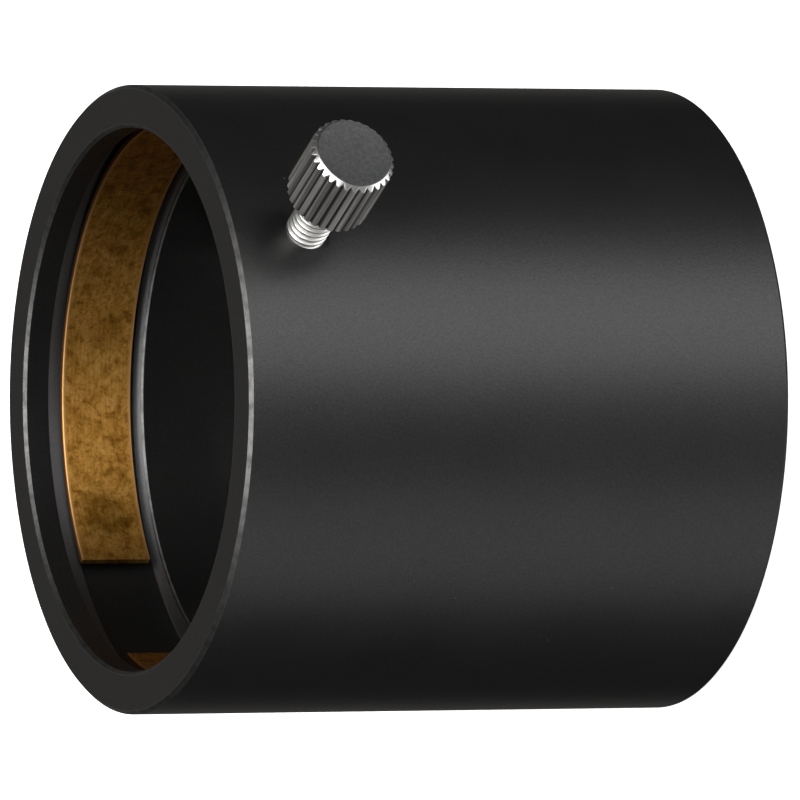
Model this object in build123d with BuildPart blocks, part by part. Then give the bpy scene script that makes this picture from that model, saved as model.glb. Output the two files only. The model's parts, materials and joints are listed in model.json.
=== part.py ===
from build123d import *

import math
import os

# Short Barlow lens with a two-inch eyepiece socket, in millimetres.
# It stands on its rear (telescope-side) face: +Z runs along the optical axis and out of the
# eyepiece socket's mouth, z = 0 is the rear face, and the thumbscrew points along +X.

# ---- Tube ---------------------------------------------------------------------------------
TUBE_LENGTH = 54.7
TUBE_RADIUS = 29.5
MOUTH_BEVEL = 0.35                 # outer corner at the mouth
REAR_BEVEL = 0.3                   # outer corner at the rear face

# ---- Eyepiece socket: takes a two-inch (50.8 mm) barrel ---------------------------------------
SOCKET_RADIUS = 25.5
SOCKET_BEVEL = 0.3
SOCKET_DEPTH = 33.7                # from the mouth to the shoulder that stops the barrel

# ---- Groove for the compression ring, depths measured from the mouth ---------------------------
GROOVE_RADIUS = 27.8
GROOVE_START = 2.5                 # where the 45 degree front flank leaves the socket wall
GROOVE_END = 12.15                 # the square rear flank
GROOVE_CORNER = 0.2

# ---- Split brass compression ring ----------------------------------------------------------------
RING_INNER = 25.9
RING_THICKNESS = 0.8
RING_FRONT = 4.1                   # depth of its front edge from the mouth
RING_WIDTH = 7.1
RING_FRONT_CHAMFER = 0.3           # clears the groove's slanted flank
RING_BURR = 0.12                   # broken inner edges
RING_GAP_ANGLE = 31.5              # degrees of ring left open
RING_GAP_CENTRE = 199.75           # degrees about +Z from +X

# ---- Thumbscrew, along +X, M4 x 0.7 ------------------------------------------------------------------
SCREW_DEPTH = 7.6                  # depth of its axis from the mouth
STUD_RADIUS = 1.95                 # crests of the thread, cut slightly under 4 mm
STUD_HOLE_RADIUS = 2.0
STUD_POINT = 0.35                  # chamfer on the stud's tip
RING_TOUCH_GAP = 0.05
KNOB_BASE = 35.2                   # distance of the knob's underside from the optical axis
KNOB_TOP = 42.4
KNOB_RADIUS = 4.0                  # crests of the knurl
KNOB_ROOT_RADIUS = 3.66            # bottoms of the knurl
KNOB_TOP_CHAMFER = 0.5
KNOB_BASE_CHAMFER = 0.15
KNOB_TEETH = 30
KNOB_CREST = 0.25                  # flat left on each tooth
KNOB_TURN = 2.0                    # angle at which the first tooth stands, in degrees
KNOB_SOCKET_DEPTH = 5.0            # how far the stud goes into the knob
GLUE_GAP = 0.02

# ---- Rear thread, M48 x 0.75, takes the nosepiece -----------------------------------------------------
THREAD_MINOR = 23.6
THREAD_LENGTH = 6.0
THREAD_LEAD_IN = 0.4
RELIEF_RADIUS = 24.2
RELIEF_WIDTH = 1.2

# ---- Stop lip between the socket and the optics --------------------------------------------------------
LIP_THICKNESS = 1.8
LIP_RADIUS = 21.5

# ---- Lens cell, screwed in from the rear against the lip -----------------------------------------------
CELL_BORE = 23.0
CELL_RADIUS = 22.95
CELL_BACK = 6.7                    # height of its rear rim above the rear face
CELL_LIP_THICKNESS = 0.8
CELL_LIP_RADIUS = 17.0
CELL_SLOT_WIDTH = 3.0
CELL_SLOT_DEPTH = 0.9

BAFFLE_THICKNESS = 1.0
BAFFLE_RADIUS = 22.9
BAFFLE_APERTURE = 18.0
BAFFLE_EDGE = 0.15                 # thickness left at the knife edge

# ---- Cemented negative doublet, focal length about -120 mm ---------------------------------------------
LENS_RADIUS = 18.0
LENS_POCKET_RADIUS = 18.06
LENS_EDGE_THICKNESS = 8.5          # of the doublet, at its rim
LENS_EDGE_BEVEL = 0.2
CROWN_REAR_CURVE = 72.0
CEMENTED_CURVE = 42.8
FLINT_FRONT_CURVE = 174.0
CROWN_CENTRE_THICKNESS = 1.5
CROWN_POLISHED_RADIUS = 16.8       # a flat seat runs from here to the rim
FLINT_POLISHED_RADIUS = 17.2

CUSHION_SECTION = 0.4              # radius of the cushion ring's cord
CUSHION_RADIUS = 17.45             # of the circle that the cord follows
RETAINER_RADIUS = 19.0
RETAINER_BORE = 19.05
RETAINER_APERTURE = 17.0
RETAINER_THICKNESS = 1.2
RETAINER_SLOT_WIDTH = 2.4
RETAINER_SLOT_DEPTH = 0.8

# ---- Heights above the rear face, worked out from the dimensions above ----------------------------------
SHOULDER_Z = TUBE_LENGTH - SOCKET_DEPTH
LIP_Z = SHOULDER_Z - LIP_THICKNESS
CELL_FRONT = LIP_Z - BAFFLE_THICKNESS
LENS_FRONT = CELL_FRONT - CELL_LIP_THICKNESS
LENS_BACK = LENS_FRONT - LENS_EDGE_THICKNESS
CUSHION_Z = LENS_BACK - CUSHION_SECTION
RETAINER_FRONT = LENS_BACK - 2 * CUSHION_SECTION
RETAINER_BACK = RETAINER_FRONT - RETAINER_THICKNESS
CELL_BORE_START = THREAD_LENGTH + RELIEF_WIDTH

GROOVE_START_Z = TUBE_LENGTH - GROOVE_START
GROOVE_FLOOR_Z = GROOVE_START_Z - (GROOVE_RADIUS - SOCKET_RADIUS)
GROOVE_END_Z = TUBE_LENGTH - GROOVE_END
RING_FRONT_Z = TUBE_LENGTH - RING_FRONT
RING_REAR_Z = RING_FRONT_Z - RING_WIDTH
RING_OUTER = RING_INNER + RING_THICKNESS
SCREW_Z = TUBE_LENGTH - SCREW_DEPTH
STUD_TIP = RING_OUTER + RING_TOUCH_GAP
STUD_END = KNOB_BASE + KNOB_SOCKET_DEPTH


def sag(curve, radius):
    """Depth of a spherical surface of the given radius of curvature, at a distance from its axis."""
    return curve - math.sqrt(curve**2 - radius**2)


def across_screw(distance):
    """Plane square to the thumbscrew, at a distance from the optical axis."""
    return Plane(origin=(distance, 0, SCREW_Z), x_dir=(0, 1, 0), z_dir=(1, 0, 0))


CROWN_REAR_VERTEX = LENS_BACK + sag(CROWN_REAR_CURVE, CROWN_POLISHED_RADIUS)
CEMENTED_VERTEX = CROWN_REAR_VERTEX + CROWN_CENTRE_THICKNESS
CEMENTED_EDGE = CEMENTED_VERTEX + sag(CEMENTED_CURVE, LENS_RADIUS)
FLINT_FRONT_VERTEX = LENS_FRONT - sag(FLINT_FRONT_CURVE, FLINT_POLISHED_RADIUS)

os.makedirs("parts", exist_ok=True)

# ---- Tube: one turned piece with the socket, ring groove, stop lip, cell bore and rear thread -----------
with BuildPart() as body_tube:
    with BuildSketch(Plane.XZ):
        with BuildLine():
            Polyline(
                (TUBE_RADIUS - REAR_BEVEL, 0),
                (TUBE_RADIUS, REAR_BEVEL),
                (TUBE_RADIUS, TUBE_LENGTH - MOUTH_BEVEL),
                (TUBE_RADIUS - MOUTH_BEVEL, TUBE_LENGTH),
                (SOCKET_RADIUS + SOCKET_BEVEL, TUBE_LENGTH),
                (SOCKET_RADIUS, TUBE_LENGTH - SOCKET_BEVEL),
                (SOCKET_RADIUS, GROOVE_START_Z),
                (GROOVE_RADIUS, GROOVE_FLOOR_Z),
                (GROOVE_RADIUS, GROOVE_END_Z),
                (SOCKET_RADIUS + GROOVE_CORNER, GROOVE_END_Z),
                (SOCKET_RADIUS, GROOVE_END_Z - GROOVE_CORNER),
                (SOCKET_RADIUS, SHOULDER_Z),
                (LIP_RADIUS, SHOULDER_Z),
                (LIP_RADIUS, LIP_Z),
                (CELL_BORE, LIP_Z),
                (CELL_BORE, CELL_BORE_START),
                (RELIEF_RADIUS, CELL_BORE_START),
                (RELIEF_RADIUS, THREAD_LENGTH),
                (THREAD_MINOR, THREAD_LENGTH),
                (THREAD_MINOR, THREAD_LEAD_IN),
                (THREAD_MINOR + THREAD_LEAD_IN, 0),
                close=True,
            )
        make_face()
    revolve(axis=Axis.Z)
    with BuildSketch(across_screw(GROOVE_RADIUS - 1)):
        Circle(STUD_HOLE_RADIUS)
    extrude(amount=TUBE_RADIUS - GROOVE_RADIUS + 2, mode=Mode.SUBTRACT)
body_tube.part.label = "body_tube"
export_step(body_tube.part, "parts/body_tube.step")

# ---- Compression ring: a split strip that the thumbscrew closes on the eyepiece's barrel ----------------
with BuildPart() as compression_ring:
    with BuildSketch(Plane.XZ.rotated((0, 0, RING_GAP_CENTRE + RING_GAP_ANGLE / 2))):
        with BuildLine():
            Polyline(
                (RING_INNER + RING_BURR, RING_REAR_Z),
                (RING_OUTER - RING_BURR, RING_REAR_Z),
                (RING_OUTER, RING_REAR_Z + RING_BURR),
                (RING_OUTER, RING_FRONT_Z - RING_FRONT_CHAMFER),
                (RING_OUTER - RING_FRONT_CHAMFER, RING_FRONT_Z),
                (RING_INNER + RING_BURR, RING_FRONT_Z),
                (RING_INNER, RING_FRONT_Z - RING_BURR),
                (RING_INNER, RING_REAR_Z + RING_BURR),
                close=True,
            )
        make_face()
    revolve(axis=Axis.Z, revolution_arc=360 - RING_GAP_ANGLE)
compression_ring.part.label = "compression_ring"
export_step(compression_ring.part, "parts/compression_ring.step")

# ---- Thumbscrew knob: straight V knurl, chamfered crown and a blind hole for the stud --------------------
with BuildPart() as thumbscrew_knob:
    with BuildSketch(across_screw(KNOB_BASE)):
        Circle(KNOB_RADIUS)
    extrude(amount=KNOB_TOP - KNOB_BASE)
    knob_ends = thumbscrew_knob.edges().filter_by(GeomType.CIRCLE).sort_by(Axis.X)
    chamfer(knob_ends[-1], KNOB_TOP_CHAMFER)
    chamfer(knob_ends[0], KNOB_BASE_CHAMFER)
    tooth_half_angle = 180 / KNOB_TEETH
    notch_depth = KNOB_RADIUS - KNOB_ROOT_RADIUS
    notch_width = 2 * KNOB_RADIUS * math.radians(tooth_half_angle) - KNOB_CREST
    with BuildSketch(across_screw(KNOB_BASE)):
        with PolarLocations(KNOB_ROOT_RADIUS, KNOB_TEETH, start_angle=KNOB_TURN + tooth_half_angle):
            Polygon((0, 0), (2 * notch_depth, -notch_width), (2 * notch_depth, notch_width), align=None)
    extrude(amount=KNOB_TOP - KNOB_BASE, mode=Mode.SUBTRACT)
    with BuildSketch(across_screw(KNOB_BASE)):
        Circle(STUD_RADIUS + GLUE_GAP)
    extrude(amount=KNOB_SOCKET_DEPTH + GLUE_GAP, mode=Mode.SUBTRACT)
thumbscrew_knob.part.label = "thumbscrew_knob"
export_step(thumbscrew_knob.part, "parts/thumbscrew_knob.step")

# ---- Thumbscrew stud: its flat tip bears on the outside of the compression ring --------------------------
with BuildPart() as thumbscrew_stud:
    with BuildSketch(across_screw(STUD_TIP)):
        Circle(STUD_RADIUS)
    extrude(amount=STUD_END - STUD_TIP)
    stud_ends = thumbscrew_stud.edges().filter_by(GeomType.CIRCLE).sort_by(Axis.X)
    chamfer(stud_ends[0], STUD_POINT)
thumbscrew_stud.part.label = "thumbscrew_stud"
export_step(thumbscrew_stud.part, "parts/thumbscrew_stud.step")

# ---- Baffle ring: a knife-edged light stop held between the lip and the cell -----------------------------
with BuildPart() as baffle_ring:
    with BuildSketch(Plane.XZ):
        with BuildLine():
            Polyline(
                (BAFFLE_RADIUS, CELL_FRONT),
                (BAFFLE_RADIUS, LIP_Z),
                (BAFFLE_APERTURE + BAFFLE_THICKNESS - BAFFLE_EDGE, LIP_Z),
                (BAFFLE_APERTURE, CELL_FRONT + BAFFLE_EDGE),
                (BAFFLE_APERTURE, CELL_FRONT),
                close=True,
            )
        make_face()
    revolve(axis=Axis.Z)
baffle_ring.part.label = "baffle_ring"
export_step(baffle_ring.part, "parts/baffle_ring.step")

# ---- Lens cell: a threaded cup that holds the doublet, with two spanner slots in its rear rim ------------
with BuildPart() as lens_cell:
    with BuildSketch(Plane.XZ):
        with BuildLine():
            Polyline(
                (RETAINER_BORE, CELL_BACK),
                (CELL_RADIUS, CELL_BACK),
                (CELL_RADIUS, CELL_FRONT),
                (CELL_LIP_RADIUS, CELL_FRONT),
                (CELL_LIP_RADIUS, LENS_FRONT),
                (LENS_POCKET_RADIUS, LENS_FRONT),
                (LENS_POCKET_RADIUS, RETAINER_FRONT),
                (RETAINER_BORE, RETAINER_FRONT),
                close=True,
            )
        make_face()
    revolve(axis=Axis.Z)
    with BuildSketch(Plane.XY.offset(CELL_BACK)):
        Rectangle(2 * CELL_RADIUS + 2, CELL_SLOT_WIDTH)
    extrude(amount=CELL_SLOT_DEPTH, mode=Mode.SUBTRACT)
lens_cell.part.label = "lens_cell"
export_step(lens_cell.part, "parts/lens_cell.step")

# ---- Crown lens: the biconcave element, on the telescope side -------------------------------------------
with BuildPart() as crown_lens:
    with BuildSketch(Plane.XZ):
        with BuildLine():
            Line((0, CROWN_REAR_VERTEX), (0, CEMENTED_VERTEX))
            RadiusArc((0, CEMENTED_VERTEX), (LENS_RADIUS, CEMENTED_EDGE), -CEMENTED_CURVE)
            Line((LENS_RADIUS, CEMENTED_EDGE), (LENS_RADIUS, LENS_BACK + LENS_EDGE_BEVEL))
            Line((LENS_RADIUS, LENS_BACK + LENS_EDGE_BEVEL), (LENS_RADIUS - LENS_EDGE_BEVEL, LENS_BACK))
            Line((LENS_RADIUS - LENS_EDGE_BEVEL, LENS_BACK), (CROWN_POLISHED_RADIUS, LENS_BACK))
            RadiusArc((CROWN_POLISHED_RADIUS, LENS_BACK), (0, CROWN_REAR_VERTEX), -CROWN_REAR_CURVE)
        make_face()
    revolve(axis=Axis.Z)
crown_lens.part.label = "crown_lens"
export_step(crown_lens.part, "parts/crown_lens.step")

# ---- Flint lens: the weak meniscus cemented to it, on the eyepiece side ----------------------------------
with BuildPart() as flint_lens:
    with BuildSketch(Plane.XZ):
        with BuildLine():
            Line((0, FLINT_FRONT_VERTEX), (0, CEMENTED_VERTEX))
            RadiusArc((0, CEMENTED_VERTEX), (LENS_RADIUS, CEMENTED_EDGE), -CEMENTED_CURVE)
            Line((LENS_RADIUS, CEMENTED_EDGE), (LENS_RADIUS, LENS_FRONT - LENS_EDGE_BEVEL))
            Line((LENS_RADIUS, LENS_FRONT - LENS_EDGE_BEVEL), (LENS_RADIUS - LENS_EDGE_BEVEL, LENS_FRONT))
            Line((LENS_RADIUS - LENS_EDGE_BEVEL, LENS_FRONT), (FLINT_POLISHED_RADIUS, LENS_FRONT))
            RadiusArc((FLINT_POLISHED_RADIUS, LENS_FRONT), (0, FLINT_FRONT_VERTEX), FLINT_FRONT_CURVE)
        make_face()
    revolve(axis=Axis.Z)
flint_lens.part.label = "flint_lens"
export_step(flint_lens.part, "parts/flint_lens.step")

# ---- Cushion ring: a thin rubber cord between the glass and its retainer ---------------------------------
with BuildPart() as lens_cushion:
    with BuildSketch(Plane.XZ):
        with Locations((CUSHION_RADIUS, CUSHION_Z)):
            Circle(CUSHION_SECTION)
    revolve(axis=Axis.Z)
lens_cushion.part.label = "lens_cushion"
export_step(lens_cushion.part, "parts/lens_cushion.step")

# ---- Retaining ring: threaded into the cell's rear, with two spanner slots -------------------------------
with BuildPart() as lens_retaining_ring:
    with BuildSketch(Plane.XZ):
        with BuildLine():
            Polyline(
                (RETAINER_APERTURE + 0.5, RETAINER_BACK),
                (RETAINER_RADIUS, RETAINER_BACK),
                (RETAINER_RADIUS, RETAINER_FRONT),
                (RETAINER_APERTURE, RETAINER_FRONT),
                (RETAINER_APERTURE, RETAINER_BACK + 0.5),
                close=True,
            )
        make_face()
    revolve(axis=Axis.Z)
    with BuildSketch(Plane.XY.offset(RETAINER_BACK)):
        Rectangle(RETAINER_SLOT_WIDTH, 2 * RETAINER_RADIUS + 2)
    extrude(amount=RETAINER_SLOT_DEPTH, mode=Mode.SUBTRACT)
lens_retaining_ring.part.label = "lens_retaining_ring"
export_step(lens_retaining_ring.part, "parts/lens_retaining_ring.step")
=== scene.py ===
"""Studio picture of a short two-inch Barlow lens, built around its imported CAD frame."""
import json
import math

import bmesh
import bpy
import numpy as np
from mathutils import Matrix, Vector


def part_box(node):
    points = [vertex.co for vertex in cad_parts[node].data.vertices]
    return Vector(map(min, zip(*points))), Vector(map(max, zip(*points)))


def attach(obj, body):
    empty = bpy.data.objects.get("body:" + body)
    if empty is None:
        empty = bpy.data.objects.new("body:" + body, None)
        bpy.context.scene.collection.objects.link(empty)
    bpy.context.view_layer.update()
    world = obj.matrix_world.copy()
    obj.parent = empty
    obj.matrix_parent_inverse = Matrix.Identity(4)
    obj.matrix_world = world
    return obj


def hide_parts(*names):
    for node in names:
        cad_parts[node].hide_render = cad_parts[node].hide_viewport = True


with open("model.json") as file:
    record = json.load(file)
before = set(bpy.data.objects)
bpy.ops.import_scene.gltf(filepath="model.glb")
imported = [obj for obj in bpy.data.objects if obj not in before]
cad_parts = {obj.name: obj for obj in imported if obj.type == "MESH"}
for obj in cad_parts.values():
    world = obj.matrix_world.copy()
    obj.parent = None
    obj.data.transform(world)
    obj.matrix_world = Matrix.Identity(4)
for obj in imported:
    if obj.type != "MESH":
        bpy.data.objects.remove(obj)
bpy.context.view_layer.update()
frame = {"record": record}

MM = 0.001

# ---- Dimensions in millimetres, read from the frame where it has them -----------------------------
mounts = {mount["name"]: mount for mount in frame["record"]["mounts"]}


def box_mm(node):
    """A CAD node's lowest and highest corners in millimetres."""
    low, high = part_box(node)
    return low / MM, high / MM


TUBE_HIGH = box_mm("body_tube")[1]
RING_LOW, RING_HIGH = box_mm("compression_ring")
KNOB_LOW, KNOB_HIGH = box_mm("thumbscrew_knob")
STUD_LOW, STUD_HIGH = box_mm("thumbscrew_stud")
CELL_LOW, CELL_HIGH = box_mm("lens_cell")
BAFFLE_LOW, BAFFLE_HIGH = box_mm("baffle_ring")
CROWN_LOW = box_mm("crown_lens")[0]
FLINT_HIGH = box_mm("flint_lens")[1]
CUSHION_LOW, CUSHION_HIGH = box_mm("lens_cushion")
RETAINER_LOW, RETAINER_HIGH = box_mm("lens_retaining_ring")

TUBE_RADIUS = TUBE_HIGH.x
TUBE_LENGTH = TUBE_HIGH.z
SOCKET_RADIUS = mounts["eyepiece_socket"]["dims"]["r_mm"]
THREAD_MINOR = mounts["nosepiece_thread"]["dims"]["r_mm"]
SCREW_Z = (KNOB_LOW.z + KNOB_HIGH.z) / 2

EDGE = 0.06                        # usual rounding of a machined edge
MOUTH_BEVEL = 0.35
REAR_BEVEL = 0.3
SOCKET_BEVEL = 0.3
SOCKET_DEPTH = 33.7
GROOVE_RADIUS = 27.8
GROOVE_START = 2.5
GROOVE_END = 12.15
GROOVE_CORNER = 0.2
LIP_RADIUS = 21.5
LIP_THICKNESS = 1.8
CELL_BORE = 23.0
THREAD_LENGTH = 6.0
THREAD_LEAD_IN = 0.4
THREAD_PITCH = 0.75
RELIEF_RADIUS = 24.2
RELIEF_WIDTH = 1.2

RING_INNER = 25.9
RING_GAP_ANGLE = 31.5
RING_GAP_CENTRE = 199.75
STAIN_FROM_END = 10.6              # a dark stain on the strip, in degrees from the split
STAIN_RADIUS = 2.5

SCREW_PITCH = 0.7
SCREW_THREAD_DEPTH = 0.4
STUD_HOLE_RADIUS = 2.0
KNOB_ROOT_RADIUS = 3.66
KNOB_TOP_CHAMFER = 0.5
KNOB_BASE_CHAMFER = 0.15
KNOB_TEETH = 30
KNOB_CREST = 0.25                  # flat left on each tooth
KNOB_TURN = 2.0                    # angle at which the first tooth stands, in degrees
KNOB_DISH = 0.035                  # depth of the faint dish in the knob's top
STUD_POINT = 0.35                  # chamfer on the stud's tip
THREAD_RUNOUT = 0.35               # where the stud's thread ends, in front of the knob
HOLE_CLEARANCE = 0.02              # round the stud in the knob's blind hole

LENS_RADIUS = 18.0
CROWN_REAR_CURVE = 72.0
CEMENTED_CURVE = 42.8
FLINT_FRONT_CURVE = 174.0
CROWN_POLISHED_RADIUS = 16.8
FLINT_POLISHED_RADIUS = 17.2
CROWN_CENTRE_THICKNESS = 1.5
CELL_LIP_RADIUS = 17.0
CELL_LIP_THICKNESS = 0.8
LENS_POCKET_RADIUS = 18.06
RETAINER_BORE = 19.05
RETAINER_APERTURE = 17.0
BAFFLE_APERTURE = 18.0


# ---- Turned shapes --------------------------------------------------------------------------------
def rounded(corners, steps=4):
    """Outline points (r, z, normal r, normal z) of a closed outline of (r, z, rounding) corners.

    The outline runs anticlockwise. A corner with no rounding is a point of a smooth curve.
    """
    points = []
    count = len(corners)
    for index, (r, z, rounding) in enumerate(corners):
        here = np.array([r, z])
        before = here - np.array(corners[index - 1][:2])
        after = np.array(corners[(index + 1) % count][:2]) - here
        before = before / np.linalg.norm(before)
        after = after / np.linalg.norm(after)
        normal_in = np.array([before[1], -before[0]])
        normal_out = np.array([after[1], -after[0]])
        if not rounding:
            normal = normal_in + normal_out
            points.append((*here, *(normal / np.linalg.norm(normal))))
            continue
        turn = math.atan2(before[0] * after[1] - before[1] * after[0], float(before @ after))
        setback = rounding * math.tan(abs(turn) / 2)
        side = math.copysign(1.0, turn)
        centre = here - before * setback - normal_in * side * rounding
        start = math.atan2(normal_in[1], normal_in[0])
        for step in range(steps + 1):
            angle = start + turn * step / steps
            normal = np.array([math.cos(angle), math.sin(angle)])
            points.append((*(centre + normal * side * rounding), *normal))
    return points


def upright(radius, angle, height):
    """Places turned points about the optical axis."""
    return np.stack([radius * np.cos(angle), radius * np.sin(angle), height + 0 * radius], -1)


def along_screw(radius, angle, height):
    """Places turned points about the thumbscrew's axis, which runs along +X."""
    return np.stack([height + 0 * radius, radius * np.cos(angle), SCREW_Z + radius * np.sin(angle)], -1)


def build_mesh(name, vertices, faces, normals=None):
    """A mesh piece in metres, from millimetre vertices, with its own shading normals if given."""
    mesh = bpy.data.meshes.new(name)
    mesh.from_pydata((np.asarray(vertices) * MM).tolist(), [], faces)
    mesh.shade_smooth()
    piece = bpy.data.objects.new(name, mesh)
    bpy.context.scene.collection.objects.link(piece)
    if normals is not None:
        mesh.normals_split_custom_set_from_vertices(np.asarray(normals).tolist())
    return piece


def grid_faces(rows, columns, wrap_rows, wrap_columns, skip=None):
    """Quads between the points of a grid, apart from the cells for which skip is true."""
    faces = []
    for row in range(rows if wrap_rows else rows - 1):
        below = (row + 1) % rows
        for column in range(columns if wrap_columns else columns - 1):
            if skip and skip(row, column):
                continue
            beside = (column + 1) % columns
            corners = (
                row * columns + column,
                row * columns + beside,
                below * columns + beside,
                below * columns + column,
            )
            faces.append(corners)
    return faces


def turned_points(outline, columns, place=upright, relief=None):
    """Points and normals of a closed outline turned about an axis, with a relief cut into its rows."""
    outline = np.array(outline)
    angle = np.linspace(0, 2 * math.pi, columns, endpoint=False)[None, :]
    radius = np.repeat(outline[:, 0:1], columns, 1)
    height = np.repeat(outline[:, 1:2], columns, 1)
    points = place(radius, angle, height)
    tip = place(radius + outline[:, 2:3], angle, height + outline[:, 3:4])
    normals = tip - points
    if relief:
        cut, threaded = relief(angle, radius, height)
        points = place(radius + cut, angle, height)
        along = np.roll(points, -1, 0) - np.roll(points, 1, 0)
        around = np.roll(points, -1, 1) - np.roll(points, 1, 1)
        slope = np.cross(around, along)
        slope /= np.linalg.norm(slope, axis=-1, keepdims=True)
        normals = np.where(threaded[..., None], slope, normals)
    return points.reshape(-1, 3), normals.reshape(-1, 3)


def turned(name, outline, columns=256):
    """A closed outline turned about the optical axis."""
    points, normals = turned_points(outline, columns)
    return build_mesh(name, points, grid_faces(len(outline), columns, True, True), normals)


def dress(piece, body, material, slot, *nodes):
    """Gives a piece its material, lets it ride on a body and stand for CAD nodes; the slot argument is not
    used.
    """
    piece.data.materials.append(material)
    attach(piece, body)
    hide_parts(*nodes)
    return piece


# ---- Materials ------------------------------------------------------------------------------------
class Finish:
    """A material built round one Principled shader, with textures in millimetres."""

    def __init__(self, name, **values):
        self.material = bpy.data.materials.new(name)
        self.material.use_nodes = True
        self.tree = self.material.node_tree
        self.shader = self.tree.nodes["Principled BSDF"]
        for socket, value in values.items():
            self.shader.inputs[socket.replace("_", " ")].default_value = value
        self.place = self.tree.nodes.new("ShaderNodeTexCoord")

    def node(self, kind, inputs=None, **settings):
        node = self.tree.nodes.new("ShaderNode" + kind)
        for key, value in settings.items():
            setattr(node, key, value)
        for key, value in (inputs or {}).items():
            self.feed(node.inputs[key], value)
        return node

    def feed(self, socket, value):
        if isinstance(value, bpy.types.NodeSocket):
            self.tree.links.new(value, socket)
        else:
            socket.default_value = value

    def millimetres(self, stretch=(1, 1, 1)):
        """Object coordinates in millimetres, stretched along the axes."""
        scale = tuple(factor / MM for factor in stretch)
        return self.node("Mapping", {"Vector": self.place.outputs["Object"], "Scale": scale}).outputs[0]

    def noise(self, per_mm, detail=2.0, roughness=0.5, distortion=0.0, stretch=(1, 1, 1)):
        inputs = {
            "Vector": self.millimetres(stretch),
            "Scale": per_mm,
            "Detail": detail,
            "Roughness": roughness,
            "Distortion": distortion,
        }
        return self.node("TexNoise", inputs).outputs["Fac"]

    def ramp(self, value, *stops):
        """A colour ramp: each stop is (position, colour or grey)."""
        node = self.node("ValToRGB", {"Fac": value})
        elements = node.color_ramp.elements
        while len(elements) < len(stops):
            elements.new(0.5)
        for element, (position, colour) in zip(elements, stops):
            element.position = position
            grey = isinstance(colour, (int, float))
            element.color = (colour, colour, colour, 1) if grey else (*colour, 1)
        return node.outputs["Color"]

    def span(self, value, low, high):
        """A 0 to 1 value moved to run from low to high."""
        return self.node("MapRange", {"Value": value, "To Min": low, "To Max": high}).outputs["Result"]

    def mix(self, factor, first, second, blend="MIX"):
        node = self.node("Mix", data_type="RGBA", blend_type=blend)
        self.feed(node.inputs["Factor"], factor)
        self.feed(node.inputs[6], first)
        self.feed(node.inputs[7], second)
        return node.outputs[2]

    def radius_and_height(self):
        """Distance from the optical axis and height up it, in millimetres."""
        place = self.node("SeparateXYZ", {"Vector": self.millimetres()})
        across = self.node("CombineXYZ", {"X": place.outputs["X"], "Y": place.outputs["Y"]})
        radius = self.node("VectorMath", {0: across.outputs[0]}, operation="LENGTH").outputs["Value"]
        return radius, place.outputs["Z"]

    def math(self, operation, first, second):
        return self.node("Math", {0: first, 1: second}, operation=operation).outputs[0]

    def both(self, *masks):
        product = masks[0]
        for mask in masks[1:]:
            product = self.math("MULTIPLY", product, mask)
        return product

    def groove_mask(self):
        """1 on the end walls of the compression ring's groove and 0 elsewhere."""
        radius, height = self.radius_and_height()
        rear, front = TUBE_LENGTH - GROOVE_END, TUBE_LENGTH - GROOVE_START
        return self.both(
            self.step(radius, SOCKET_RADIUS + 0.03, SOCKET_RADIUS + 0.08),
            self.step(radius, GROOVE_RADIUS - 0.05, GROOVE_RADIUS - 0.15),
            self.step(height, rear - 0.1, rear - 0.05),
            self.step(height, front + 0.1, front),
        )

    def bevel_mask(self):
        """1 on the bevels of the mouth and on the corner behind the groove, where the black has worn."""
        radius, height = self.radius_and_height()
        total = self.math("ADD", radius, height)
        difference = self.math("SUBTRACT", height, radius)
        outer = TUBE_RADIUS + TUBE_LENGTH - MOUTH_BEVEL
        inner = TUBE_LENGTH - SOCKET_RADIUS - SOCKET_BEVEL
        rear = TUBE_LENGTH - GROOVE_END
        behind = rear - SOCKET_RADIUS - GROOVE_CORNER
        corner = self.both(
            self.step(difference, behind - 0.06, behind),
            self.step(height, rear + 0.08, rear + 0.02),
        )
        mouth_outside = self.step(total, outer - 0.05, outer)
        mouth_inside = self.step(difference, inner - 0.05, inner)
        return self.math("MAXIMUM", self.math("MAXIMUM", mouth_outside, mouth_inside), corner)

    def step(self, value, off, on):
        """0 at off and 1 at on."""
        inputs = {"Value": value, "From Min": off, "From Max": on}
        return self.node("MapRange", inputs).outputs["Result"]

    def brushed(self, amount):
        """Stretches highlights across marks that run round the optical axis."""
        self.feed(self.shader.inputs["Anisotropic"], amount)
        self.shader.inputs["Anisotropic Rotation"].default_value = 0.25
        tangent = self.node("Tangent", direction_type="RADIAL", axis="Z")
        self.feed(self.shader.inputs["Tangent"], tangent.outputs[0])

    def bump(self, *layers):
        """Bump from (height, strength, distance in millimetres) layers, one on another."""
        normal = None
        for height, strength, distance in layers:
            inputs = {"Height": height, "Strength": strength, "Distance": distance * MM}
            if normal:
                inputs["Normal"] = normal
            normal = self.node("Bump", inputs).outputs["Normal"]
        self.feed(self.shader.inputs["Normal"], normal)


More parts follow.
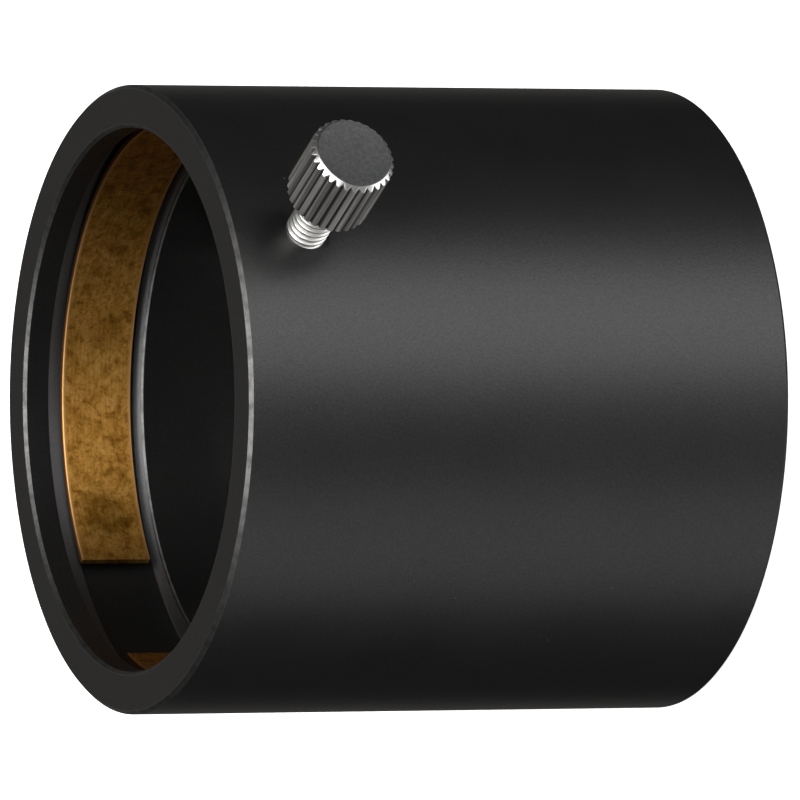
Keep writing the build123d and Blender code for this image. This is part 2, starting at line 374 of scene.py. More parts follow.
def black_anodised():
    """Satin black anodising over a fine blasted surface, with worn bevels, dust and a greyer groove."""
    finish = Finish("black_anodised")
    cloud = finish.noise(0.12, 3.0)
    grain = finish.noise(5.0, 2.0)
    scuff = finish.noise(0.9, 3.0, 0.6)
    colour = finish.ramp(cloud, (0.3, (0.0034, 0.0034, 0.0033)), (0.7, (0.0050, 0.0050, 0.0048)))
    coarse = finish.ramp(grain, (0.3, (0.15, 0.15, 0.155)), (0.7, (0.21, 0.21, 0.215)))
    worn = finish.ramp(scuff, (0.30, (0.07, 0.07, 0.07)), (0.62, (0.13, 0.13, 0.126)))
    groove = finish.groove_mask()
    bevel = finish.bevel_mask()
    colour = finish.mix(groove, colour, coarse)
    colour = finish.mix(bevel, colour, worn)
    cells = finish.node("TexVoronoi", {"Vector": finish.millimetres(), "Scale": 0.30, "Randomness": 1.0})
    dust = finish.step(cells.outputs["Distance"], 0.026, 0.014)
    colour = finish.mix(dust, colour, (0.07, 0.07, 0.066, 1))
    finish.feed(finish.shader.inputs["Base Color"], colour)
    finish.feed(finish.shader.inputs["Specular IOR Level"], finish.span(grain, 0.33, 0.67))
    satin = finish.span(cloud, 0.38, 0.42)
    rough = finish.mix(groove, satin, (0.62, 0.62, 0.62, 1))
    rough = finish.mix(bevel, rough, finish.span(scuff, 0.50, 0.38))
    finish.feed(finish.shader.inputs["Roughness"], rough)
    bare = finish.math("MAXIMUM", groove, bevel)
    finish.feed(finish.shader.inputs["Metallic"], bare)
    finish.brushed(finish.math("MULTIPLY", groove, 0.85))
    turning = finish.noise(6.0, 2.0, stretch=(0.01, 0.01, 1))
    finish.bump((grain, 1.0, 0.012), (turning, 0.15, 0.004))
    return finish.material


def matte_black():
    """Dead black paint inside the optical path."""
    finish = Finish("matte_black", Roughness=0.75, Specular_IOR_Level=0.25)
    grain = finish.noise(5.0, 3.0)
    finish.feed(finish.shader.inputs["Base Color"], finish.ramp(grain, (0.3, 0.006), (0.7, 0.011)))
    finish.bump((grain, 0.4, 0.01))
    return finish.material


def aged_brass():
    """Brass strip: soft patina, fine streaks along it, rubbed rims, a dark stain near one end and painted
    shade on its front end face.
    """
    finish = Finish("aged_brass", Metallic=1.0)
    blotch = finish.noise(0.8, 4.0, 0.55, 0.6)
    speck = finish.noise(2.8, 4.0, 0.65)
    streak = finish.noise(3.5, 3.0, stretch=(0.12, 0.12, 1.6))
    tone = finish.ramp(
        blotch,
        (0.34, (0.32, 0.150, 0.024)),
        (0.46, (0.50, 0.250, 0.048)),
        (0.56, (0.60, 0.315, 0.072)),
        (0.70, (0.68, 0.38, 0.105)),
    )
    patina = finish.ramp(
        speck,
        (0.36, (0.56, 0.50, 0.36)),
        (0.48, (0.92, 0.90, 0.84)),
        (0.60, (1.0, 1.0, 1.0)),
    )
    tone = finish.mix(0.85, tone, patina, "MULTIPLY")
    drawn = finish.ramp(streak, (0.38, (0.78, 0.75, 0.68)), (0.60, (1.0, 1.0, 1.0)))
    tone = finish.mix(0.8, tone, drawn, "MULTIPLY")
    spot = math.radians(RING_GAP_CENTRE - RING_GAP_ANGLE / 2 - STAIN_FROM_END)
    middle = (RING_LOW.z + RING_HIGH.z) / 2
    centre = (RING_INNER * math.cos(spot), RING_INNER * math.sin(spot), middle)
    away = finish.node("VectorMath", {0: finish.millimetres(), 1: centre}, operation="DISTANCE")
    ragged = finish.math("ADD", away.outputs["Value"], finish.span(blotch, -2.0, 2.0))
    stain = finish.step(ragged, STAIN_RADIUS * 1.4, STAIN_RADIUS * 0.6)
    stained = finish.mix(1.0, tone, (0.5, 0.5, 0.36, 1), "MULTIPLY")
    tone = finish.mix(finish.math("MULTIPLY", stain, 0.75), tone, stained)
    height = finish.radius_and_height()[1]
    front = finish.step(height, RING_HIGH.z - 0.42, RING_HIGH.z - 0.16)
    rear = finish.step(height, RING_LOW.z + 0.45, RING_LOW.z + 0.12)
    rubbed = finish.math("MAXIMUM", front, rear)
    tone = finish.mix(rubbed, tone, (0.62, 0.33, 0.12, 1))
    # Painted shade: the strip's front end face is coloured dark brown, standing in for the shadow that lies
    # on it.
    face = finish.step(height, RING_HIGH.z - 0.08, RING_HIGH.z - 0.03)
    tone = finish.mix(face, tone, (0.24, 0.12, 0.045, 1))
    finish.feed(finish.shader.inputs["Base Color"], tone)
    finish.feed(finish.shader.inputs["Roughness"], finish.span(speck, 0.58, 0.38))
    finish.brushed(0.6)
    finish.bump((streak, 0.3, 0.012), (speck, 0.3, 0.01), (blotch, 0.35, 0.05))
    return finish.material


def knurled_steel():
    """Steel of the knob: drawn flutes of uneven shine, painted shade in the notches, a bright chamfer and a
    darker, mottled top.
    """
    finish = Finish("knurled_steel", Metallic=1.0)
    drawn = finish.noise(5.0, 3.0, stretch=(0.06, 1, 1))
    uneven = finish.noise(1.5, 2.0, stretch=(0.03, 1, 1))
    mottle = finish.noise(3.2, 5.0, 0.7)
    place = finish.node("SeparateXYZ", {"Vector": finish.millimetres()})
    along = place.outputs["X"]
    aside = finish.math("SUBTRACT", place.outputs["Z"], SCREW_Z)
    across = finish.node("CombineXYZ", {"X": place.outputs["Y"], "Y": aside})
    radius = finish.node("VectorMath", {0: across.outputs[0]}, operation="LENGTH").outputs["Value"]
    # Painted shade: the roots of the notches between the teeth are darkened, standing in for the shade deep
    # in each notch.
    notch = finish.step(radius, KNOB_HIGH.y - 0.08, KNOB_ROOT_RADIUS + 0.04)
    top = finish.step(along, KNOB_HIGH.x - 0.06, KNOB_HIGH.x - 0.045)
    chamfer_start = KNOB_HIGH.x - KNOB_TOP_CHAMFER
    chamfer = finish.step(along, chamfer_start - 0.02, chamfer_start + 0.03)
    flutes = finish.ramp(
        uneven,
        (0.36, (0.40, 0.385, 0.37)),
        (0.50, (0.68, 0.66, 0.64)),
        (0.62, (0.97, 0.96, 0.94)),
    )
    face = finish.ramp(mottle, (0.3, (0.16, 0.162, 0.166)), (0.7, (0.27, 0.272, 0.276)))
    flutes = finish.mix(notch, flutes, (0.13, 0.12, 0.11, 1))
    colour = finish.mix(chamfer, flutes, (0.86, 0.86, 0.85, 1))
    finish.feed(finish.shader.inputs["Base Color"], finish.mix(top, colour, face))
    rough = finish.mix(chamfer, finish.span(drawn, 0.34, 0.52), (0.3, 0.3, 0.3, 1))
    finish.feed(finish.shader.inputs["Roughness"], finish.mix(top, rough, finish.span(mottle, 0.28, 0.36)))
    finish.bump((drawn, 0.3, 0.012), (mottle, 0.15, 0.01))
    return finish.material


def bright_steel():
    """Bright plated thread."""
    finish = Finish("bright_steel", Metallic=1.0, Base_Color=(0.97, 0.955, 0.93, 1))
    wear = finish.noise(3.0, 3.0)
    finish.feed(finish.shader.inputs["Roughness"], finish.span(wear, 0.34, 0.46))
    finish.bump((wear, 0.15, 0.01))
    return finish.material


def coated_glass(name, index):
    """Clear optical glass under a thin antireflection film."""
    finish = Finish(
        name,
        Base_Color=(0.96, 0.99, 0.97, 1),
        Roughness=0.0,
        IOR=index,
        Transmission_Weight=1.0,
        Thin_Film_Thickness=118.0,
        Thin_Film_IOR=1.38,
    )
    return finish.material


def black_rubber():
    """Matte rubber."""
    finish = Finish("black_rubber", Roughness=0.7)
    grain = finish.noise(9.0, 2.0)
    finish.feed(finish.shader.inputs["Base Color"], finish.ramp(grain, (0.3, 0.012), (0.7, 0.022)))
    finish.bump((grain, 0.3, 0.01))
    return finish.material


ANODISED = black_anodised()
MATTE = matte_black()
BRASS = aged_brass()
KNURLED = knurled_steel()
BRIGHT = bright_steel()
CROWN_GLASS = coated_glass("crown_glass", 1.517)
FLINT_GLASS = coated_glass("flint_glass", 1.62)
RUBBER = black_rubber()


# ---- Body tube ------------------------------------------------------------------------------------
HOLE_BLOCK = 2.6                   # half the side of the patch of wall round the stud's hole
HOLE_ROWS = 10
HOLE_COLUMNS = 5                   # columns of the patch on either side of the hole
HOLE_LEAD_IN = 0.12
TUBE_COLUMNS = 360


def tube_outline():
    """The tube's section, and where in it the patch beside the stud's hole starts, outside and inside."""
    groove_z = TUBE_LENGTH - GROOVE_START
    floor_z = groove_z - (GROOVE_RADIUS - SOCKET_RADIUS)
    groove_end = TUBE_LENGTH - GROOVE_END
    shoulder = TUBE_LENGTH - SOCKET_DEPTH
    lip = shoulder - LIP_THICKNESS
    bore_start = THREAD_LENGTH + RELIEF_WIDTH
    patch = [SCREW_Z + HOLE_BLOCK * (2 * row / HOLE_ROWS - 1) for row in range(HOLE_ROWS + 1)]
    corners = [
        (TUBE_RADIUS - REAR_BEVEL, 0, EDGE),
        (TUBE_RADIUS, REAR_BEVEL, EDGE),
        *[(TUBE_RADIUS, z, 0) for z in patch],
        (TUBE_RADIUS, TUBE_LENGTH - MOUTH_BEVEL, EDGE),
        (TUBE_RADIUS - MOUTH_BEVEL, TUBE_LENGTH, EDGE),
        (SOCKET_RADIUS + SOCKET_BEVEL, TUBE_LENGTH, EDGE),
        (SOCKET_RADIUS, TUBE_LENGTH - SOCKET_BEVEL, EDGE),
        (SOCKET_RADIUS, groove_z, EDGE),
        (GROOVE_RADIUS, floor_z, EDGE),
        *[(GROOVE_RADIUS, z, 0) for z in reversed(patch)],
        (GROOVE_RADIUS, groove_end, EDGE),
        (SOCKET_RADIUS + GROOVE_CORNER, groove_end, EDGE),
        (SOCKET_RADIUS, groove_end - GROOVE_CORNER, EDGE),
        (SOCKET_RADIUS, shoulder, EDGE),
        (LIP_RADIUS, shoulder, EDGE),
        (LIP_RADIUS, lip, EDGE),
        (CELL_BORE, lip, EDGE),
        (CELL_BORE, bore_start, EDGE),
        (RELIEF_RADIUS, bore_start, EDGE),
        (RELIEF_RADIUS, THREAD_LENGTH, EDGE),
        (THREAD_MINOR, THREAD_LENGTH, EDGE),
    ]
    thread_step = THREAD_PITCH / 10
    thread_rows = int((THREAD_LENGTH - THREAD_LEAD_IN - 3 * EDGE) / thread_step)
    corners += [
        (THREAD_MINOR, THREAD_LENGTH - 2 * EDGE - row * thread_step, 0) for row in range(thread_rows)
    ]
    corners += [(THREAD_MINOR, THREAD_LEAD_IN, EDGE), (THREAD_MINOR + THREAD_LEAD_IN, 0, EDGE)]
    outline = rounded(corners)

    def row_at(radius, z):
        return min(range(len(outline)), key=lambda k: abs(outline[k][0] - radius) + abs(outline[k][1] - z))

    return outline, row_at(TUBE_RADIUS, patch[0]), row_at(GROOVE_RADIUS, patch[-1])


def nosepiece_thread(angle, radius, height):
    """The female thread: how far its V cuts into the wall, and which points it moves."""
    turns = height / THREAD_PITCH + angle / (2 * math.pi)
    ridge = 1 - 2 * np.abs(turns % 1 - 0.5)
    depth = 0.54 * THREAD_PITCH * np.clip(1.25 * ridge - 0.12, 0, 1)
    threaded = (np.abs(radius - THREAD_MINOR) < EDGE) & (height < THREAD_LENGTH - EDGE)
    threaded &= height > THREAD_LEAD_IN
    fade = np.clip((THREAD_LENGTH - 2 * EDGE - height) / THREAD_PITCH, 0, 1)
    return np.where(threaded, depth * fade, 0), threaded


def patch_border(first_row, rising):
    """Grid points (row, column) round a patch of wall, anticlockwise as seen from the thumbscrew."""
    low, high = -HOLE_COLUMNS, HOLE_COLUMNS
    border = [(0, column) for column in range(low, high)]
    border += [(row, high) for row in range(HOLE_ROWS)]
    border += [(HOLE_ROWS, column) for column in range(high, low, -1)]
    border += [(row, low) for row in range(HOLE_ROWS, 0, -1)]
    step = 1 if rising else -1
    start = first_row if rising else first_row + HOLE_ROWS
    return [(start + step * row) * TUBE_COLUMNS + column % TUBE_COLUMNS for row, column in border]


def hole_loops(border, points, wall, facing):
    """Loops of points from a patch's square border to the round edge of the hole through the wall."""
    edge = points[border]
    bearing = np.arctan2(edge[:, 2] - SCREW_Z, edge[:, 1])
    ring = np.stack([np.cos(bearing), np.sin(bearing)], -1)
    square = np.stack([edge[:, 1], edge[:, 2] - SCREW_Z], -1)
    loops = []
    for blend, radius, depth, tilt in (
        (0.35, STUD_HOLE_RADIUS + HOLE_LEAD_IN, 0, 0),
        (0.7, STUD_HOLE_RADIUS + HOLE_LEAD_IN, 0, 0),
        (1, STUD_HOLE_RADIUS + HOLE_LEAD_IN, 0, 0.15),
        (1, STUD_HOLE_RADIUS + HOLE_LEAD_IN * 0.3, HOLE_LEAD_IN * 0.3, 0.5),
        (1, STUD_HOLE_RADIUS, HOLE_LEAD_IN, 0.85),
        (1, STUD_HOLE_RADIUS, HOLE_LEAD_IN * 2, 1),
    ):
        flat = square * (1 - blend) + ring * radius * blend
        across = np.sqrt((wall - facing * depth) ** 2 - flat[:, 0] ** 2)
        place = np.stack([across, flat[:, 0], SCREW_Z + flat[:, 1]], -1)
        outward = np.stack([across, flat[:, 0], 0 * across], -1) / wall * facing
        inward = np.stack([0 * across, -ring[:, 0], -ring[:, 1]], -1)
        turn = tilt * math.pi / 2
        loops.append((place, outward * math.cos(turn) + inward * math.sin(turn)))
    return loops


def body_tube():
    """The tube as one closed skin, with the hole for the stud worked into its wall."""
    outline, outside, inside = tube_outline()
    points, normals = turned_points(outline, TUBE_COLUMNS, relief=nosepiece_thread)
    rims = [patch_border(outside, True), patch_border(inside, False)]
    loops = hole_loops(rims[0], points, TUBE_RADIUS, 1)
    loops += reversed(hole_loops(rims[1], points, GROOVE_RADIUS, -1))
    count = len(rims[0])
    chain = [rims[0]]
    for place, normal in loops:
        chain.append(list(range(len(points), len(points) + count)))
        points = np.concatenate([points, place])
        normals = np.concatenate([normals, normal])
    chain.append(rims[1])
    patches = set()
    for first_row in (outside, inside):
        for row in range(first_row, first_row + HOLE_ROWS):
            patches |= {(row, column % TUBE_COLUMNS) for column in range(-HOLE_COLUMNS, HOLE_COLUMNS)}
    faces = grid_faces(len(outline), TUBE_COLUMNS, True, True, lambda row, column: (row, column) in patches)
    for near, far in zip(chain, chain[1:]):
        for k in range(count):
            following = (k + 1) % count
            faces.append((near[k], near[following], far[following], far[k]))
    used = sorted({vertex for face in faces for vertex in face})
    renumbered = {vertex: number for number, vertex in enumerate(used)}
    faces = [tuple(renumbered[vertex] for vertex in face) for face in faces]
    tube = build_mesh("body_tube_turned", points[used], faces, normals[used])
    return dress(tube, "tube", ANODISED, "black_anodised", "body_tube")


# ---- Compression ring -----------------------------------------------------------------------------
def compression_ring():
    """Split strip with softened edges and ends, and the slight waviness of rolled sheet."""
    outer = RING_HIGH.y
    soft = 0.1
    front = 0.3
    section = rounded([
        (RING_INNER, RING_LOW.z, soft),
        (outer, RING_LOW.z, soft),
        (outer, RING_HIGH.z - front, soft),
        (outer - front, RING_HIGH.z, soft),
        (RING_INNER, RING_HIGH.z, 0.18),
    ])
    section = np.array(section)
    half_gap = math.radians(RING_GAP_ANGLE / 2)
    first = math.radians(RING_GAP_CENTRE) + half_gap
    last = first + 2 * math.pi - 2 * half_gap
    edge_turn = soft / RING_INNER
    angle = np.concatenate([
        [first, first + 0.3 * edge_turn],
        np.linspace(first + edge_turn, last - edge_turn, 300),
        [last - 0.3 * edge_turn, last],
    ])
    inset = np.zeros(len(angle))
    inset[[0, -1]] = 0.8 * soft
    inset[[1, -2]] = 0.25 * soft
    wave = 0.02 * np.sin(7.3 * angle + 1.0) + 0.012 * np.sin(17.1 * angle)
    radius = section[None, :, 0] - inset[:, None] * section[None, :, 2]
    height = section[None, :, 1] - inset[:, None] * section[None, :, 3]
    middle = (RING_LOW.z + RING_HIGH.z) / 2
    crown = 1 - ((height - middle) / (RING_HIGH.z - middle)) ** 2
    radius = radius + wave[:, None] * crown * (radius < (RING_INNER + outer) / 2)
    turn = angle[:, None]
    points = upright(radius, turn, height)
    tip = upright(radius + section[None, :, 2], turn, height + section[None, :, 3])
    normals = (tip - points).reshape(-1, 3)
    rows, columns = radius.shape
    faces = [tuple(reversed(face)) for face in grid_faces(rows, columns, False, True)]
    faces.append(tuple(range(columns)))
    faces.append(tuple(reversed(range((rows - 1) * columns, rows * columns))))
    ring = build_mesh("compression_ring_strip", points.reshape(-1, 3), faces)
    shade(ring.data, normals, lambda face: face.loop_total > 4)
    return dress(ring, "ring", BRASS, "brass_strip", "compression_ring")


# ---- Thumbscrew -----------------------------------------------------------------------------------
def knurl(angle):
    """Radius of the straight V knurl at an angle, with a small round at the bottom of each notch."""
    crest = KNOB_HIGH.y
    pitch = 2 * math.pi * crest / KNOB_TEETH
    place = ((angle - math.radians(KNOB_TURN)) * KNOB_TEETH / (2 * math.pi)) % 1
    from_crest = np.minimum(place, 1 - place) * pitch
    notch = (from_crest - KNOB_CREST / 2) / (pitch / 2 - KNOB_CREST / 2)
    return crest - (crest - KNOB_ROOT_RADIUS) * np.clip(1.12 * notch, 0, 1)


def thumbscrew_knob():
    """Knurled cylinder with a chamfered crown, a faintly dished top and the stud's blind hole."""
    crest, base, top = KNOB_HIGH.y, KNOB_LOW.x, KNOB_HIGH.x
    columns = KNOB_TEETH * 16
    angle = np.linspace(0, 2 * math.pi, columns, endpoint=False) + math.radians(KNOB_TURN)
    bore = STUD_HIGH.y + HOLE_CLEARANCE
    bore_end = STUD_HIGH.x + HOLE_CLEARANCE
    rows = [(bore_end, 0.0, False), (bore_end, bore, False), (base + 0.1, bore, False)]
    rows += [(base, bore + 0.1, False), (base, KNOB_ROOT_RADIUS - 0.2, False)]
    for step in range(5):
        rows.append((base + KNOB_BASE_CHAMFER * step / 4, crest - KNOB_BASE_CHAMFER * (1 - step / 4), True))
    rows.append((base + 0.5, crest, True))
    rows.append((top - KNOB_TOP_CHAMFER - 0.3, crest, True))
    for step in range(17):
        rows.append((top - KNOB_TOP_CHAMFER * (1 - step / 16), crest - KNOB_TOP_CHAMFER * step / 16, True))
    flat = crest - KNOB_TOP_CHAMFER
    rows += [(top, flat - 0.04, False), (top - 0.015, flat - 0.5, False), (top - 0.03, flat * 0.5, False)]
    rows += [(top - KNOB_DISH, 0.0, False)]
    points = []
    for height, radius, knurled in rows:
        edge = np.minimum(knurl(angle), radius) if knurled else np.full(columns, radius)
        points.append(along_screw(edge, angle, np.full(columns, height)))
    faces = grid_faces(len(rows), columns, False, True)
    knob = build_mesh("thumbscrew_knob_knurled", np.concatenate(points), faces)
    weld(knob.data, 1e-6)
    knob.data.set_sharp_from_angle(angle=math.radians(28))
    return dress(knob, "thumbscrew", KNURLED, "knob_steel", "thumbscrew_knob")


def weld(mesh, distance):
    """Joins vertices that lie within a distance in metres, and turns all faces outwards."""
    cut = bmesh.new()
    cut.from_mesh(mesh)
    bmesh.ops.remove_doubles(cut, verts=cut.verts, dist=distance)
    bmesh.ops.dissolve_degenerate(cut, edges=cut.edges, dist=distance / 10)
    bmesh.ops.recalc_face_normals(cut, faces=cut.faces)
    cut.to_mesh(mesh)
    cut.free()


def shade(mesh, normals, flat):
    """Sets shading normals per corner: the face's own where flat(face), else the vertex's."""
    split = []
    for face in mesh.polygons:
        own = tuple(face.normal)
        split += [own if flat(face) else tuple(normals[vertex]) for vertex in face.vertices]
    mesh.normals_split_custom_set(split)


def thumbscrew_stud():
    """M4 x 0.7 thread as a real helix, plain inside the knob."""
    crest, tip, end = STUD_HIGH.y, STUD_LOW.x, STUD_HIGH.x
    columns = 120
    heights = np.linspace(tip, end, int((end - tip) / SCREW_PITCH * 24))
    angle = np.linspace(0, 2 * math.pi, columns, endpoint=False)[None, :]
    height = np.repeat(heights[:, None], columns, 1)
    turns = height / SCREW_PITCH - angle / (2 * math.pi)
    ridge = 1 - 2 * np.abs(turns % 1 - 0.5)
    valley = np.clip(1.45 * ridge - 0.40, 0, 1)
    depth = SCREW_THREAD_DEPTH * valley * valley * (3 - 2 * valley)
    fade = np.clip((KNOB_LOW.x - THREAD_RUNOUT - height) / (0.6 * SCREW_PITCH), 0, 1)
    point = np.clip(crest - STUD_POINT + (height - tip), 0, crest)
    radius = np.minimum(crest - depth * fade, point)
    points = along_screw(radius, angle, height)
    around = np.roll(points, -1, 1) - np.roll(points, 1, 1)
    along = np.gradient(points, axis=0)
    normals = np.cross(around, along)
    normals /= np.linalg.norm(normals, axis=-1, keepdims=True)
    rows = len(heights)
    faces = grid_faces(rows, columns, False, True)
    faces.append(tuple(reversed(range(columns))))
    faces.append(tuple(range((rows - 1) * columns, rows * columns)))
    stud = build_mesh("thumbscrew_stud_threaded", points.reshape(-1, 3), faces)
    shade(stud.data, normals.reshape(-1, 3), lambda face: face.loop_total > 4)
    return dress(stud, "thumbscrew", BRIGHT, "stud_steel", "thumbscrew_stud")


# ---- Optics ---------------------------------------------------------------------------------------
def sag(curve, radius):
    """Depth of a spherical surface at a distance from its axis."""
    return curve - math.sqrt(curve**2 - radius**2)


def lens(name, rear, front, edge_low, edge_high, material, node):
    """A lens between two surfaces, each a function of the distance from the axis."""
    steps = 28
    rear_points = [(LENS_RADIUS * k / steps, rear(LENS_RADIUS * k / steps)) for k in range(steps)]
    front_points = [(LENS_RADIUS * k / steps, front(LENS_RADIUS * k / steps)) for k in range(steps)]
    bevel = 0.15
    rim = [
        (LENS_RADIUS - bevel, rear(LENS_RADIUS)),
        (LENS_RADIUS, edge_low + bevel),
        (LENS_RADIUS, edge_high - bevel),
        (LENS_RADIUS - bevel, front(LENS_RADIUS)),
    ]
    columns = 128
    outline = rear_points + rim + list(reversed(front_points))
    angle = np.linspace(0, 2 * math.pi, columns, endpoint=False)
    points = [upright(np.full(columns, r), angle, np.full(columns, z)) for r, z in outline]
    faces = grid_faces(len(outline), columns, False, True)
    piece = build_mesh(name, np.concatenate(points), faces)
    weld(piece.data, 1e-7)
    piece.data.set_sharp_from_angle(angle=math.radians(20))
    return dress(piece, "tube", material, "coated_glass", node)


def optics():
    """The cemented doublet: a biconcave crown and a flint meniscus."""
    rear_vertex = CROWN_LOW.z + sag(CROWN_REAR_CURVE, CROWN_POLISHED_RADIUS)
    cemented_vertex = rear_vertex + CROWN_CENTRE_THICKNESS
    front_vertex = FLINT_HIGH.z - sag(FLINT_FRONT_CURVE, FLINT_POLISHED_RADIUS)

    def crown_rear(radius):
        return rear_vertex - sag(CROWN_REAR_CURVE, min(radius, CROWN_POLISHED_RADIUS))

    def cemented(radius):
        return cemented_vertex + sag(CEMENTED_CURVE, radius)

    def flint_front(radius):
        return front_vertex + sag(FLINT_FRONT_CURVE, min(radius, FLINT_POLISHED_RADIUS))

    edge = cemented(LENS_RADIUS)
    cement = 0.01
    lens("crown_lens_ground", crown_rear, lambda r: cemented(r) - cement, CROWN_LOW.z, edge,
         CROWN_GLASS, "crown_lens")
    lens("flint_lens_ground", cemented, flint_front, edge, FLINT_HIGH.z, FLINT_GLASS, "flint_lens")


def machined(name, corners, material, slot, node, slots=None):
    """A turned ring in the optical train, with spanner slots (width, depth, across X?) if given."""
    piece = turned(name, rounded(corners), 256)
    if slots:
        width, depth, across_x = slots
        low = min(z for _, z, _ in corners)
        reach = 2 * max(r for r, _, _ in corners) + 4
        size = (reach, width) if across_x else (width, reach)
        cut_box(piece, size, low - 1, low + depth)
    return dress(piece, "tube", material, slot, node)


def cut_box(piece, size, low, high):
    """Cuts a box centred on the optical axis out of a piece."""
    corners = [(x * size[0] / 2, y * size[1] / 2, z) for z in (low, high) for x in (-1, 1) for y in (-1, 1)]
    faces = [(0, 1, 3, 2), (4, 6, 7, 5), (0, 4, 5, 1), (2, 3, 7, 6), (0, 2, 6, 4), (1, 5, 7, 3)]
    cutter = build_mesh("cutter", corners, faces)
    modifier = piece.modifiers.new("slots", "BOOLEAN")
    modifier.object = cutter
    modifier.solver = "EXACT"
    graph = bpy.context.evaluated_depsgraph_get()
    cut = bpy.data.meshes.new_from_object(piece.evaluated_get(graph))
    piece.modifiers.clear()
    old = piece.data
    piece.data = cut
    bpy.data.meshes.remove(old)
    bpy.data.objects.remove(cutter)
    piece.data.set_sharp_from_angle(angle=math.radians(30))


def optical_train():
    """The doublet in its cell, with the retaining ring, the cushion and the baffle."""
    optics()
    machined("baffle_ring_turned", [
        (BAFFLE_APERTURE, BAFFLE_LOW.z, 0.03),
        (BAFFLE_HIGH.x, BAFFLE_LOW.z, EDGE),
        (BAFFLE_HIGH.x, BAFFLE_HIGH.z, EDGE),
        (BAFFLE_APERTURE + 0.85, BAFFLE_HIGH.z, 0.03),
        (BAFFLE_APERTURE, BAFFLE_LOW.z + 0.15, 0.03),
    ], MATTE, "baffle_black", "baffle_ring")
    seat = CELL_HIGH.z - CELL_LIP_THICKNESS
    retainer_top = RETAINER_HIGH.z
    machined("lens_cell_turned", [
        (RETAINER_BORE, CELL_LOW.z, EDGE),
        (CELL_HIGH.x, CELL_LOW.z, 0.2),
        (CELL_HIGH.x, CELL_HIGH.z, 0.2),
        (CELL_LIP_RADIUS, CELL_HIGH.z, EDGE),
        (CELL_LIP_RADIUS, seat, EDGE),
        (LENS_POCKET_RADIUS, seat, EDGE),
        (LENS_POCKET_RADIUS, retainer_top, EDGE),
        (RETAINER_BORE, retainer_top, EDGE),
    ], ANODISED, "black_anodised", "lens_cell", (3.0, 0.9, True))
    machined("lens_retaining_ring_turned", [
        (RETAINER_APERTURE + 0.5, RETAINER_LOW.z, EDGE),
        (RETAINER_HIGH.x, RETAINER_LOW.z, EDGE),
        (RETAINER_HIGH.x, RETAINER_HIGH.z, EDGE),
        (RETAINER_APERTURE, RETAINER_HIGH.z, EDGE),
        (RETAINER_APERTURE, RETAINER_LOW.z + 0.5, EDGE),
    ], ANODISED, "black_anodised", "lens_retaining_ring", (2.4, 0.8, False))
    cord = (CUSHION_HIGH.z - CUSHION_LOW.z) / 2
    middle = (CUSHION_HIGH.x - cord, CUSHION_LOW.z + cord)
    round_cord = []
    for step in range(16):
        turn = 2 * math.pi * step / 16
        round_cord.append((middle[0] + cord * math.cos(turn), middle[1] + cord * math.sin(turn), 0))
    machined("lens_cushion_ring", round_cord, RUBBER, "black_rubber", "lens_cushion")


# ---- Studio ---------------------------------------------------------------------------------------
SCREW_AZIMUTH = 58.05              # from the picture's upward direction to the thumbscrew, round the axis
CAMERA_LIFT = 23.861               # camera's height above the mouth's plane, in degrees
CAMERA_DISTANCE = 1.15018          # from the centre of the mouth, in metres
CAMERA_ASIDE = (-0.025622, 0.000033)   # where the mouth's centre lies beside the view axis, in metres
CAMERA_ROLL = 0.002
CAMERA_LENS = 552.7                # for a 36 mm sensor


def picture_axes():
    """Unit vectors in the row frame: towards the viewer on the level, and the picture's up."""
    turn = math.radians(90 - SCREW_AZIMUTH)
    towards = Vector((math.cos(turn), -math.sin(turn), 0))
    return towards, Vector((math.sin(turn), math.cos(turn), 0))


TOWARDS, UPWARDS = picture_axes()
AXIS = Vector((0, 0, 1))


def make_camera():
    """The tube lies on its side in the picture, so the camera is rolled a quarter turn."""
    lift = math.radians(CAMERA_LIFT)
    back = TOWARDS * math.cos(lift) + AXIS * math.sin(lift)
    right = TOWARDS * math.sin(lift) - AXIS * math.cos(lift)
    cosine, sine = math.cos(CAMERA_ROLL), math.sin(CAMERA_ROLL)
    right, up = right * cosine - UPWARDS * sine, right * sine + UPWARDS * cosine
    data = bpy.data.cameras.new("camera")
    data.sensor_width = 36
    data.lens = CAMERA_LENS
    data.clip_start = 0.05
    data.clip_end = 50
    camera = bpy.data.objects.new("camera", data)
    mouth = AXIS * TUBE_LENGTH * MM
    place = mouth - right * CAMERA_ASIDE[0] - up * CAMERA_ASIDE[1] + back * CAMERA_DISTANCE
    camera.matrix_world = Matrix.Translation(place) @ Matrix((right, up, back)).transposed().to_4x4()
    bpy.context.scene.collection.objects.link(camera)
    bpy.context.scene.camera = camera


def softbox(name, angle, rise, distance, size, power, colour):
    """An area light aimed at the tube's middle.

    angle goes round the tube's axis from the picture's up towards the viewer, and rise goes
    from the level towards the mouth's side, both in degrees.
    """
    data = bpy.data.lights.new(name, "AREA")
    data.shape = "RECTANGLE"
    data.size, data.size_y = size
    data.energy = power
    data.color = colour
    light = bpy.data.objects.new(name, data)
    turn, lift = math.radians(angle), math.radians(rise)
    level = UPWARDS * math.cos(turn) + TOWARDS * math.sin(turn)
    out = level * math.cos(lift) + AXIS * math.sin(lift)
    across = out.cross(AXIS).normalized()
    along = out.cross(across)
    middle = AXIS * TUBE_LENGTH * MM / 2
    facing = Matrix((across, along, out)).transposed().to_4x4()
    light.matrix_world = Matrix.Translation(middle + out * distance) @ facing
    bpy.context.scene.collection.objects.link(light)


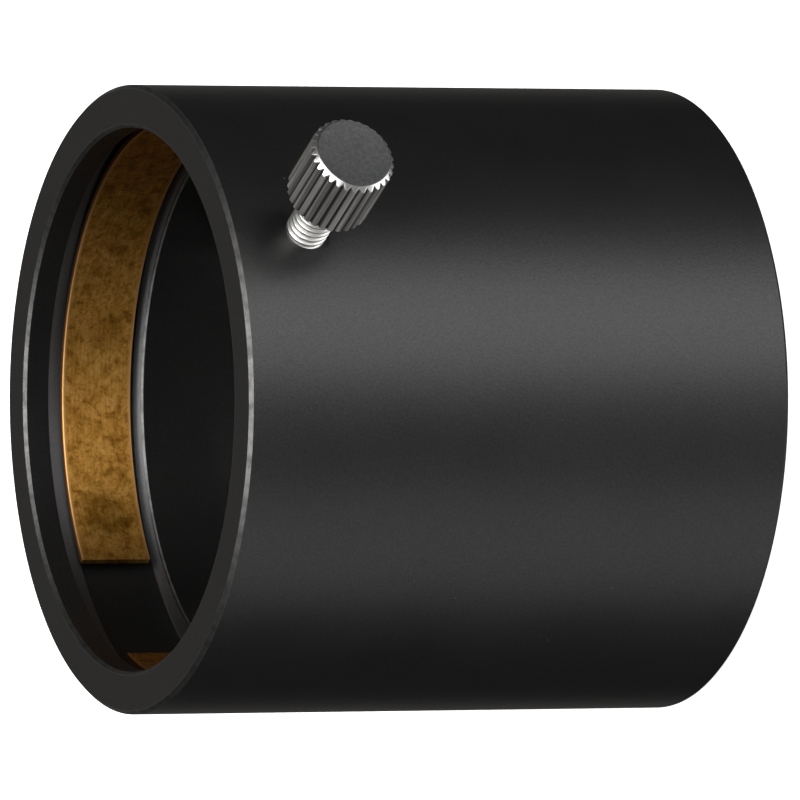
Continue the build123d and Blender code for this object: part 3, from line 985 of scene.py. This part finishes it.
def make_stage():
    """A pale floor, just below the rear face, and a backdrop, which only the camera sees."""
    pale = bpy.data.materials.new("studio_white")
    pale.use_nodes = True
    shader = pale.node_tree.nodes["Principled BSDF"]
    shader.inputs["Base Color"].default_value = (0.9, 0.9, 0.9, 1)
    shader.inputs["Roughness"].default_value = 0.9
    shader.inputs["Emission Color"].default_value = (1, 1, 1, 1)
    shader.inputs["Emission Strength"].default_value = 0.95
    reach = 8.0
    drop = -0.1 * MM
    side = [(-reach, -reach, drop), (reach, -reach, drop), (reach, reach, drop), (-reach, reach, drop)]
    floor = build_mesh("floor", np.array(side) / MM, [(0, 1, 2, 3)])
    bpy.ops.mesh.primitive_uv_sphere_add(segments=64, ring_count=32, radius=reach)
    backdrop = bpy.context.object
    backdrop.name = "backdrop"
    for piece in (floor, backdrop):
        piece.data.materials.append(pale)
        piece.visible_diffuse = False
        piece.visible_glossy = False
        piece.visible_transmission = False
        piece.visible_shadow = False


LIGHTS = (
    # name, angle, rise, distance, size, power, colour
    ("key", 61, 3, 1.0, (0.81, 2.6), 18.8, (1, 1, 1)),
    ("table", 145, -20, 1.0, (0.73, 2.0), 4.2, (1, 1, 1)),
    ("left", 86, 44, 1.0, (0.7, 0.7), 4.0, (1, 1, 1)),
    ("mouth_fill", 90, 68, 1.0, (0.9, 0.6), 6.5, (1, 1, 1)),
    ("right", 118, -68, 1.0, (0.8, 0.8), 3.2, (1, 1, 1)),
    ("behind", -90, 8, 1.2, (1.4, 2.4), 1.6, (1.0, 0.95, 0.9)),
)
WORLD_LIGHT = 0.035


def make_light():
    """A dim even surround and the softboxes."""
    world = bpy.data.worlds.new("studio")
    world.use_nodes = True
    background = world.node_tree.nodes["Background"]
    background.inputs["Color"].default_value = (1, 1, 1, 1)
    background.inputs["Strength"].default_value = WORLD_LIGHT
    bpy.context.scene.world = world
    for light in LIGHTS:
        softbox(*light)
    bpy.context.scene.view_settings.view_transform = "Standard"


body_tube()
compression_ring()
thumbscrew_knob()
thumbscrew_stud()
optical_train()
make_camera()
make_stage()
make_light()
